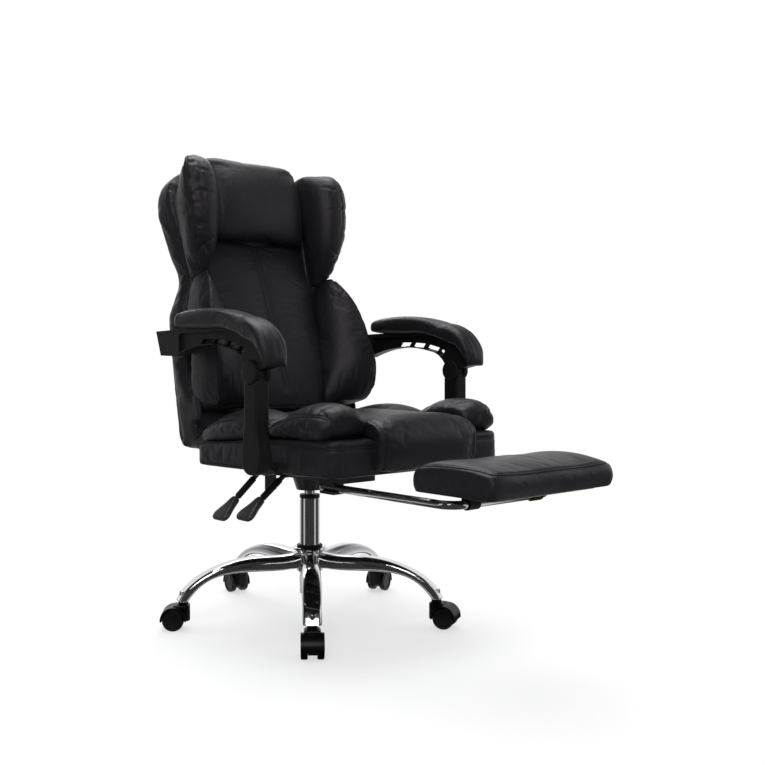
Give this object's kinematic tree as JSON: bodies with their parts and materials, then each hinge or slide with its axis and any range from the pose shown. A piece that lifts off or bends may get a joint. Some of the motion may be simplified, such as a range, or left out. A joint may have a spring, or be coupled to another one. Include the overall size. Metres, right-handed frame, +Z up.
{
  "type": "gaming chair",
  "caption": "Reclining gaming chair in padded black leatherette with winged headrest, linked padded arms, chrome star base on casters and a pull-out footrest that flips under the seat",
  "frame": {"origin": "on the floor under the column's axis", "axes": "+Z up; the sitter faces -Y; +X is the sitter's left"},
  "size_m": [0.7054, 1.1006, 1.1375],
  "materials": {
    "leather": "satin",
    "chrome": "polished",
    "plastic": "matte",
    "painted_steel": "satin",
    "steel": "satin",
    "plywood": "matte",
    "nylon": "gloss"
  },
  "bodies": {
    "base": {"star_base": "chrome", "column_tube": "chrome", "column_bush": "plastic", "thrust_bearing": "steel"},
    "rod": {"piston_rod": "steel"},
    "seat": {"gas_cylinder": "chrome", "tilt_mechanism": "painted_steel", "seat_bolts": "steel", "lever_pins": "steel", "seat_board": "plywood", "seat_base": "leather", "seat_cushion": "leather", "front_bolster_left": "leather", "front_bolster_right": "leather", "rear_bolster_left": "leather", "rear_bolster_right": "leather", "seat_hinge_plates": "painted_steel", "front_arm_brackets": "painted_steel", "footrest_guides": "painted_steel"},
    "release_pin": {"release_pin": "steel"},
    "height_lever": {"height_lever_rod": "painted_steel", "height_lever_paddle": "plastic"},
    "recline_lever": {"recline_lever_rod": "painted_steel", "recline_lever_paddle": "plastic"},
    "release_shaft": {"release_shaft": "steel"},
    "back": {"back_shell": "leather", "back_board": "plywood", "back_pad": "leather", "back_hinge_plates": "painted_steel", "rear_arm_brackets": "painted_steel", "head_pillow": "leather", "wing_pillow_left": "leather", "wing_pillow_right": "leather", "lumbar_bolster_left": "leather", "lumbar_bolster_right": "leather"},
    "footrest_frame": {"footrest_frame": "chrome"},
    "footrest": {"footrest_clamps": "plastic", "footrest_board": "plywood", "footrest_pad": "leather"},
    "post_left": {"arm_post_left": "plastic"},
    "arm_left": {"arm_frame_left": "plastic", "arm_pad_left": "leather"},
    "post_right": {"arm_post_right": "plastic"},
    "arm_right": {"arm_frame_right": "plastic", "arm_pad_right": "leather"},
    "caster_1": {"caster_1_hood": "nylon", "caster_1_pins": "steel"},
    "wheels_1": {"caster_1_wheels": "nylon"},
    "caster_2": {"caster_2_hood": "nylon", "caster_2_pins": "steel"},
    "wheels_2": {"caster_2_wheels": "nylon"},
    "caster_3": {"caster_3_hood": "nylon", "caster_3_pins": "steel"},
    "wheels_3": {"caster_3_wheels": "nylon"},
    "caster_4": {"caster_4_hood": "nylon", "caster_4_pins": "steel"},
    "wheels_4": {"caster_4_wheels": "nylon"},
    "caster_5": {"caster_5_hood": "nylon", "caster_5_pins": "steel"},
    "wheels_5": {"caster_5_wheels": "nylon"}
  },
  "joints": [
    {"name": "seat_swivel", "type": "hinge", "parent": "base", "child": "rod", "pos_m": [0, 0, 0.06], "axis": [0, 0, 1], "continuous": true},
    {"name": "gas_lift", "type": "slide", "parent": "rod", "child": "seat", "axis": [0, 0, 1], "range_m": [0, 0.1]},
    {"name": "height_lever_pull", "type": "hinge", "parent": "seat", "child": "height_lever", "pos_m": [-0.074, -0.048, 0.372], "axis": [0, 1, 0], "range_deg": [0, 4], "stiffness_Nm_per_rad": 2, "springref_deg": -2.86},
    {"name": "release_pin_press", "type": "slide", "parent": "seat", "child": "release_pin", "axis": [0, 0, -1], "range_m": [0, 0.0053]},
    {"name": "recline_lever_pull", "type": "hinge", "parent": "seat", "child": "recline_lever", "pos_m": [-0.074, -0.14, 0.372], "axis": [0, 1, 0], "range_deg": [0, 5], "stiffness_Nm_per_rad": 2, "springref_deg": -2.86},
    {"name": "recline_release", "type": "hinge", "parent": "seat", "child": "release_shaft", "pos_m": [0, 0.143, 0.45], "axis": [1, 0, 0], "range_deg": [0, 25]},
    {"name": "recline", "type": "hinge", "parent": "seat", "child": "back", "pos_m": [0, 0.143, 0.45], "axis": [-1, 0, 0], "range_deg": [0, 40]},
    {"name": "footrest_slide", "type": "slide", "parent": "seat", "child": "footrest_frame", "axis": [0, 1, 0], "range_m": [0, 0.28]},
    {"name": "footrest_flip", "type": "hinge", "parent": "footrest_frame", "child": "footrest", "pos_m": [0, -0.604, 0.354], "axis": [1, 0, 0], "range_deg": [0, 180]},
    {"name": "post_swing_left", "type": "hinge", "parent": "seat", "child": "post_left", "pos_m": [0.301, -0.199, 0.398], "axis": [-1, 0, 0], "range_deg": [0, 40]},
    {"name": "arm_knuckle_left", "type": "hinge", "parent": "post_left", "child": "arm_left", "pos_m": [0.301, -0.199, 0.6], "axis": [-1, 0, 0], "range_deg": [-40, 0]},
    {"name": "post_swing_right", "type": "hinge", "parent": "seat", "child": "post_right", "pos_m": [-0.301, -0.199, 0.398], "axis": [-1, 0, 0], "range_deg": [0, 40]},
    {"name": "arm_knuckle_right", "type": "hinge", "parent": "post_right", "child": "arm_right", "pos_m": [-0.301, -0.199, 0.6], "axis": [-1, 0, 0], "range_deg": [-40, 0]},
    {"name": "caster_1_swivel", "type": "hinge", "parent": "base", "child": "caster_1", "pos_m": [-0.19061, -0.24574, 0.067], "axis": [0, 0, 1], "continuous": true},
    {"name": "wheels_1_roll", "type": "hinge", "parent": "caster_1", "child": "wheels_1", "pos_m": [-0.20416, -0.26307, 0.025], "axis": [0.788, -0.6157, 0], "continuous": true},
    {"name": "caster_2_swivel", "type": "hinge", "parent": "base", "child": "caster_2", "pos_m": [0.17481, -0.25722, 0.067], "axis": [0, 0, 1], "continuous": true},
    {"name": "wheels_2_roll", "type": "hinge", "parent": "caster_2", "child": "wheels_2", "pos_m": [0.18445, -0.277, 0.025], "axis": [0.8988, 0.4384, 0], "continuous": true},
    {"name": "caster_3_swivel", "type": "hinge", "parent": "base", "child": "caster_3", "pos_m": [0.29865, 0.08677, 0.067], "axis": [0, 0, 1], "continuous": true},
    {"name": "wheels_3_roll", "type": "hinge", "parent": "caster_3", "child": "wheels_3", "pos_m": [0.31905, 0.09501, 0.025], "axis": [-0.3746, 0.9272, 0], "continuous": true},
    {"name": "caster_4_swivel", "type": "hinge", "parent": "base", "child": "caster_4", "pos_m": [0.00977, 0.31085, 0.067], "axis": [0, 0, 1], "continuous": true},
    {"name": "wheels_4_roll", "type": "hinge", "parent": "caster_4", "child": "wheels_4", "pos_m": [0.01207, 0.33273, 0.025], "axis": [-0.9945, 0.1045, 0], "continuous": true},
    {"name": "caster_5_swivel", "type": "hinge", "parent": "base", "child": "caster_5", "pos_m": [-0.29261, 0.10535, 0.067], "axis": [0, 0, 1], "continuous": true},
    {"name": "wheels_5_roll", "type": "hinge", "parent": "caster_5", "child": "wheels_5", "pos_m": [-0.31018, 0.11859, 0.025], "axis": [-0.6018, -0.7986, 0], "continuous": true}
  ],
  "couplings": [
    {"joint": "release_pin_press", "follows": "height_lever_pull", "m_per_rad": 0.074},
    {"joint": "recline_release", "follows": "recline_lever_pull", "ratio": 4.5},
    {"joint": "footrest_flip", "follows": "footrest_slide", "rad_per_m": 11.22},
    {"joint": "post_swing_left", "follows": "recline", "ratio": 1},
    {"joint": "arm_knuckle_left", "follows": "recline", "ratio": -1},
    {"joint": "post_swing_right", "follows": "recline", "ratio": 1},
    {"joint": "arm_knuckle_right", "follows": "recline", "ratio": -1}
  ]
}
